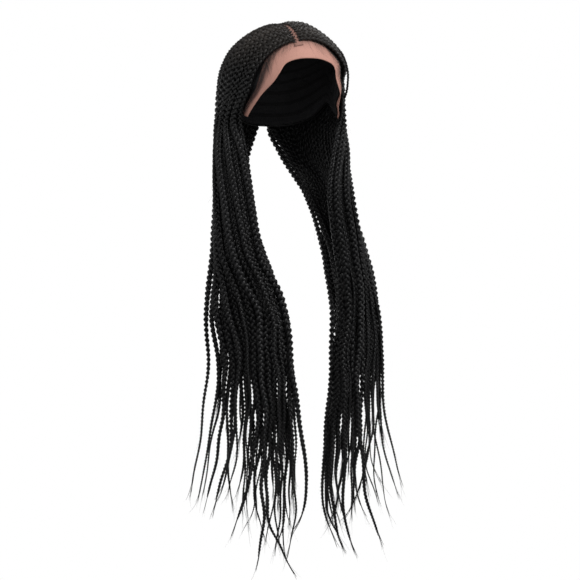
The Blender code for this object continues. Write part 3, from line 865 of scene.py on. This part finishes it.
print("crown of the egg at", head_point(np.array([0, 0, 1.0]), 0).round(3))

# %% [markdown]
# ## The lace front
# The lace is a sheer net in a soft brown, so that it hardly shows when the wig is worn. Its hair
# edge lies under the braids, and its free edge is cut in one smooth curve from temple to temple.
# Near the hairline it is darker: the knotted hair shows through it, and the braids' shadow is painted
# on it. At the right temple it is darker still, with painted shade.

# %% Make the lace
HAIR_EDGE = [(0, 43.5), (17, 44), (35, 49), (49, 59), (55, 71), (63, 87), (76, 98), (87, 106)]
FREE_EDGE = [(0, 60), (18, 61), (32, 65), (39, 73), (46, 81), (57, 89), (69, 99), (81, 108)]
LACE_COLUMNS, LACE_ROWS = 121, 14
LACE_BEHIND = 0.42  # how far the lace goes on under the hair, as a share of its depth
OVER_CAP, AT_EDGE = 0.0032, 0.0015  # how high the lace lies over the egg
LACE_THICKNESS = 0.0005
LACE_THREADS = 3000  # radians a metre
# The lace runs to LACE_DARK at the hairline, with knots and painted shadow, and at the right temple,
# with painted shade.
LACE_LIGHT, LACE_DARK = (0.37, 0.195, 0.155, 1), (0.065, 0.035, 0.030, 1)


def lace_way(round_share, across):
    """Directions on the lace. Round goes from ear (-1) to ear (1), across from hair (0) to edge (1)."""
    stops = np.linspace(-1, 1, 2 * len(HAIR_EDGE) - 1)

    def edge(table):
        both = np.array([(-a, p) for a, p in table[:0:-1]] + table, dtype=float)
        angles = smooth_through(stops, both, np.clip(round_share, -1, 1).ravel())
        return head_way(angles[:, 1], angles[:, 0]).reshape(*np.shape(round_share), 3)

    hair, free = edge(HAIR_EDGE), edge(FREE_EDGE)
    return unit(hair + (free - hair) * across[..., None])


def lace_point(round_share, across, lift=0.0):
    offset = OVER_CAP + (AT_EDGE - OVER_CAP) * ease(across, 0.05, 0.40)
    return head_point(lace_way(round_share, across), offset + lift)


def net_threads(finish, rate, start, end):
    """The two coordinates of the UV map, and the threads that cross on it."""
    place = finish.node("ShaderNodeUVMap", {"uv_map": STRAND_MAP})
    along, down = (
        finish.node("ShaderNodeSeparateXYZ", None, {"Vector": place}, output=i) for i in range(2)
    )
    threads = 0
    for lean in (1, -1):
        threads = (along * rate + down * (rate * lean)).wave().step(start, end) + threads
    return down, threads


def lace_finish():
    lace = Finish("sheer_lace", Roughness=0.72, Specular_IOR_Level=0.2)
    down, threads = net_threads(lace, LACE_THREADS, 0.80, 0.97)
    where = lace.node("ShaderNodeTexCoord", output=3)
    left, height = (
        lace.node("ShaderNodeSeparateXYZ", None, {"Vector": where}, output=i) for i in (0, 2)
    )
    # Painted shade: the right temple, on the side away from the main lamp, is darkened. Near the
    # hairline the knotted hair showing through and the braids' painted shadow darken it too. The cloud
    # is the lace's own uneven tone.
    right_temple_shade = height.step(-0.035, -0.095) * left.step(0.02, -0.02)
    hairline_knots_and_shadow = down.step(0.013, -0.002)
    cloud = lace.noise(where, 60.0)
    shade = hairline_knots_and_shadow * (right_temple_shade * 0.45 + 0.50) + right_temple_shade * 0.15 + (cloud - 0.5) * 0.25
    color = lace.mix(shade.step(0.0, 1.0), LACE_LIGHT, LACE_DARK)
    values = {"Base Color": color, "Alpha": (0.70 + threads * 0.30).step(0.0, 1.0)}
    lace.feed(lace.shader, values)
    return lace.material


round_share, across = np.meshgrid(
    np.linspace(-1, 1, LACE_COLUMNS), np.linspace(-LACE_BEHIND, 1, LACE_ROWS)
)
points = lace_point(round_share, across)
around, deep = (
    np.append(0, np.cumsum(np.linalg.norm(np.diff(points, axis=i), axis=2).mean(1 - i)))
    for i in (1, 0)
)
deep = deep - np.interp(0, across[:, 0], deep)
chart = np.stack(np.meshgrid(around, deep), axis=-1)
lace_net = lace_finish()
lace = sheet_object("lace_band", points[:, ::-1], lace_net, chart[:, ::-1], LACE_THICKNESS)
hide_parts("lace_front")
area = cloth_area(points)
print("the lace's area in cm2:", round(area * 1e4, 1))

# %% [markdown]
# ## The parting
# A strip of the same lace shows along the parting. Hair is knotted into it on both sides, and
# fine hairs run from there into the start of each plait.

# %% Lay the parting strip and the hair at the roots
PARTING_OFFSET = 0.013  # from the middle, towards the right
PARTING_FROM, PARTING_TO = -47, 30  # degrees from straight up, from the brow to the back
PARTING_STRIP, PARTING_LENGTH = 0.012, 0.125
PARTING_NARROWING = 0.55  # the share of its width that it loses towards the crown
PARTING_LIFT = 0.0014  # how far it rises between the roots, from the brow to the crown
ON_LACE = 0.0003


def parting_way(x, angle):
    """Directions beside the middle of the head, at angles from straight up in degrees."""
    across_head = 2 * x / HEAD_WIDTH
    rest, angle = np.sqrt(1 - across_head**2), np.radians(angle)
    return np.stack([across_head, rest * np.sin(angle), rest * np.cos(angle)], axis=-1)


sideways, angles = np.meshgrid(np.linspace(-0.5, 0.5, 4), np.linspace(PARTING_FROM, PARTING_TO, 40))
further_back = ease(angles, -45, -18)
sideways = sideways * PARTING_STRIP * (1 - PARTING_NARROWING * further_back)
lift = OVER_CAP + ON_LACE + PARTING_LIFT * further_back
strip_points = head_point(parting_way(sideways - PARTING_OFFSET, angles), lift)
chart = np.stack([sideways, np.radians(angles) * CROWN_HEIGHT], axis=-1)
strip = sheet_object("parting_strip", strip_points[::-1], lace_net, chart[::-1], LACE_THICKNESS)
area = cloth_area(strip_points)

ROOT_HAIRS = 34  # a braid
ROOT_LENGTH = 0.011
ROOT_RINGS = 7
ROOT_SPREAD, ROOT_NARROWING = 0.62, 0.45  # as shares of the room
ROOT_DEEP, ROOT_RISE, ROOT_UNEVEN = -0.0030, 0.0050, 0.0004
ROOT_BEHIND = 0.0010  # how far a hair may start before its braid
for side, routes in outer.items():
    bundle = Bundle()
    for lane, route in enumerate(routes):
        share, each = np.linspace(0, 1, ROOT_RINGS), (ROOT_HAIRS, 1)
        middle, beside, out = route.read(share * ROOT_LENGTH, route.middle, route.across, route.out)
        start = unit(route.middle[6] - route.middle[0])
        spread = chance.uniform(-ROOT_SPREAD, ROOT_SPREAD, each) * lanes[side].room[lane, 0]
        spread = spread * (1 - ROOT_NARROWING * share)
        lift = ROOT_DEEP + ROOT_RISE * ease(share, 0.0, 0.9)
        lift = lift + chance.uniform(-ROOT_UNEVEN, ROOT_UNEVEN, each)
        paths = middle + beside * spread[..., None] + out * lift[..., None]
        behind = chance.uniform(-ROOT_BEHIND, 0, each) * (1 - share)
        paths = paths - start * behind[..., None]
        hairs(bundle, paths, chance.uniform(0.00022, 0.00036, ROOT_HAIRS))
    bundle.make(f"root_hairs_{side}", BRAID_HAIR)

# %% [markdown]
# ## Baby hairs
# Along the hairline short fine hairs lie on the lace. They are combed in three ways: a few long
# ones that reach far over it, some that sweep along the hairline, and many at the temples.

# %% Comb the baby hairs over the lace
BABY_RINGS = 9
Comb = namedtuple("Comb", "count starts sweep depth thickness")
COMBS = [  # starts and sweep are shares of the way to the ear, and depth of the lace's depth
    Comb(150, (0.02, 0.50), (0.02, 0.10), (0.15, 1.05), (0.00006, 0.00010)),
    Comb(120, (0.05, 0.50), (0.10, 0.26), (0.04, 0.50), (0.00006, 0.00010)),
    Comb(260, (0.32, 0.92), (0.02, 0.10), (0.00, 0.80), (0.00007, 0.00012)),
]
PARTING_ROUND = -0.10  # where along the hairline the parting is
HAIR_ROOTS = (-0.60, -0.10)  # how deep under the braids' edge the hairs start
CURL = (0.8, 1.7)  # in radians
ON_NET, BABY_RISE = 0.0005, 0.0011  # how high a hair lies on the lace, and how far it arches up
bundle = Bundle()
share = np.linspace(0, 1, BABY_RINGS)
for comb in COMBS:
    start = chance.uniform(*comb.starts, comb.count)[:, None]
    side_sign = np.where(chance.uniform(size=start.shape) < 0.5, 1, -1)
    sweep = chance.uniform(*comb.sweep, start.shape)
    depth = comb.depth[0] + (comb.depth[1] - comb.depth[0]) * chance.uniform(size=start.shape) ** 2
    round_share = PARTING_ROUND * (1 - start) + side_sign * (start + sweep * share**1.3)
    curl = chance.uniform(*CURL, start.shape)
    root = chance.uniform(*HAIR_ROOTS, start.shape)
    across = root + (depth - root) * np.sin(share * curl)
    lift = ON_NET + BABY_RISE * np.sin(share * 3) * chance.uniform(0.2, 1, start.shape)
    radius = chance.uniform(*comb.thickness, comb.count)
    hairs(bundle, lace_point(round_share, across, lift), radius)
bundle.make("baby_hairs", LOOSE_HAIR)

# %% [markdown]
# ## The net cap
# The cap is a stretchy black net with an elastic edge, and with rows of hair sewn across it. Its
# inside shows through the face opening.

# %% Make the net cap
RIM = HAIR_EDGE + [(97, 95), (112, 98), (130, 106), (155, 112), (180, 113)]
CAP_COLUMNS, CAP_ROWS = 128, 30
CAP_OFFSET, CAP_THICKNESS = 0.0008, 0.0007
CAP_GIRTH, CAP_DEPTH = 0.52, 0.16
CAP_THREADS = 900  # radians a metre
TRACK_SPACING = 0.014  # between two rows of sewn hair
CROWN_HOLE = 0.012  # as a share of the depth
ELASTIC_RADIUS = 0.0014


def cap_finish():
    net = Finish("cap_net", Roughness=0.75, Specular_IOR_Level=0.25)
    down, threads = net_threads(net, CAP_THREADS, 0.72, 0.92)
    track = (down * (math.pi / TRACK_SPACING)).wave().step(0.80, 0.95)
    color = net.mix(track, (0.010, 0.010, 0.011, 1), (0.004, 0.004, 0.0045, 1))
    values = {"Base Color": color, "Normal": net.bump(threads + track * 2, 0.0005, 0.6)}
    net.feed(net.shader, values)
    return net.material


azimuth = np.linspace(-180, 180, CAP_COLUMNS + 1)[:-1]
keys, polars = np.array(RIM, dtype=float).T
rim = smooth_through(keys, polars, np.abs(azimuth))[:, 0]
share = np.linspace(CROWN_HOLE, 1, CAP_ROWS)[:, None]
points = head_point(head_way(rim * share, azimuth[None] + 0 * share), CAP_OFFSET)
around = np.linspace(0, CAP_GIRTH, CAP_COLUMNS + 1)
chart = np.stack(np.meshgrid(around, share[:, 0] * CAP_DEPTH), axis=-1)
cap = sheet_object("cap_net", points, cap_finish(), chart, CAP_THICKNESS, closed=True)
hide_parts("net_cap")

edge = head_point(head_way(rim, azimuth), CAP_OFFSET)
edge = np.concatenate([edge, edge[:1]])[None]
down = unit(np.gradient(edge, axis=1))
out = unit(edge - [0, 0, -CROWN_HEIGHT])
out = unit(out - down * (out * down).sum(-1, keepdims=True))
bundle = Bundle()
reach = np.full((*edge.shape[:2], 2), ELASTIC_RADIUS)
bundle.add(edge, np.cross(out, down), out, reach, 8, np.array([0.4]))
bundle.make("cap_elastic", BRAID_HAIR)

# %% [markdown]
# ## The stage
# The wig is held up, so the floor lies well below it. The light is a bright horizon all round,
# with one large soft lamp ahead and weaker ones to the side and behind.

# %% Set the stage and the lights
FLOOR_DROP, FLOOR_RADIUS = 1.6, 3.0
FLOOR_COLOR = (0.35, 0.35, 0.35, 1)
HORIZON, OVERHEAD = (0.12, 1.0), (0.45, 0.22)  # heights of the sky, and how bright it is there
Lamp = namedtuple("Lamp", "azimuth elevation distance size watts")
LAMPS = [
    Lamp(22, 50, 2.4, 1.2, 58),
    Lamp(-45, 28, 2.8, 1.2, 20),
    Lamp(150, 50, 2.6, 1.6, 22),
]

for lamp in LAMPS:
    data = bpy.data.lights.new("softbox", "AREA")
    data.shape = "DISK"
    data.size = lamp.size
    data.energy = lamp.watts
    way = direction(math.radians(lamp.azimuth), math.radians(lamp.elevation))
    aim(linked("softbox", data), VIEW_TARGET, way, lamp.distance)

shape = bmesh.new()
bmesh.ops.create_circle(shape, cap_ends=True, segments=96, radius=FLOOR_RADIUS)
bmesh.ops.translate(shape, verts=shape.verts, vec=(0, 0, -FLOOR_DROP))
floor_mesh = bpy.data.meshes.new("floor")
shape.to_mesh(floor_mesh)
shape.free()
floor_mesh.materials.append(Finish("pale_floor", Base_Color=FLOOR_COLOR, Roughness=0.8).material)
linked("floor", floor_mesh)

world = bpy.data.worlds.new("studio")
bpy.context.scene.world = world
world.use_nodes = True
sky = world.node_tree
ramp = sky.nodes.new("ShaderNodeMapRange")
for end, (height, brightness) in {"Min": HORIZON, "Max": OVERHEAD}.items():
    ramp.inputs[f"From {end}"].default_value = height
    ramp.inputs[f"To {end}"].default_value = brightness
parts = sky.nodes.new("ShaderNodeSeparateXYZ")
where = sky.nodes.new("ShaderNodeTexCoord")
sky.links.new(where.outputs["Generated"], parts.inputs[0])
sky.links.new(parts.outputs["Z"], ramp.inputs["Value"])
sky.links.new(ramp.outputs[0], sky.nodes["Background"].inputs["Strength"])
sky.nodes["Background"].inputs["Color"].default_value = (1, 1, 1, 1)
print("lamps:", len(LAMPS))
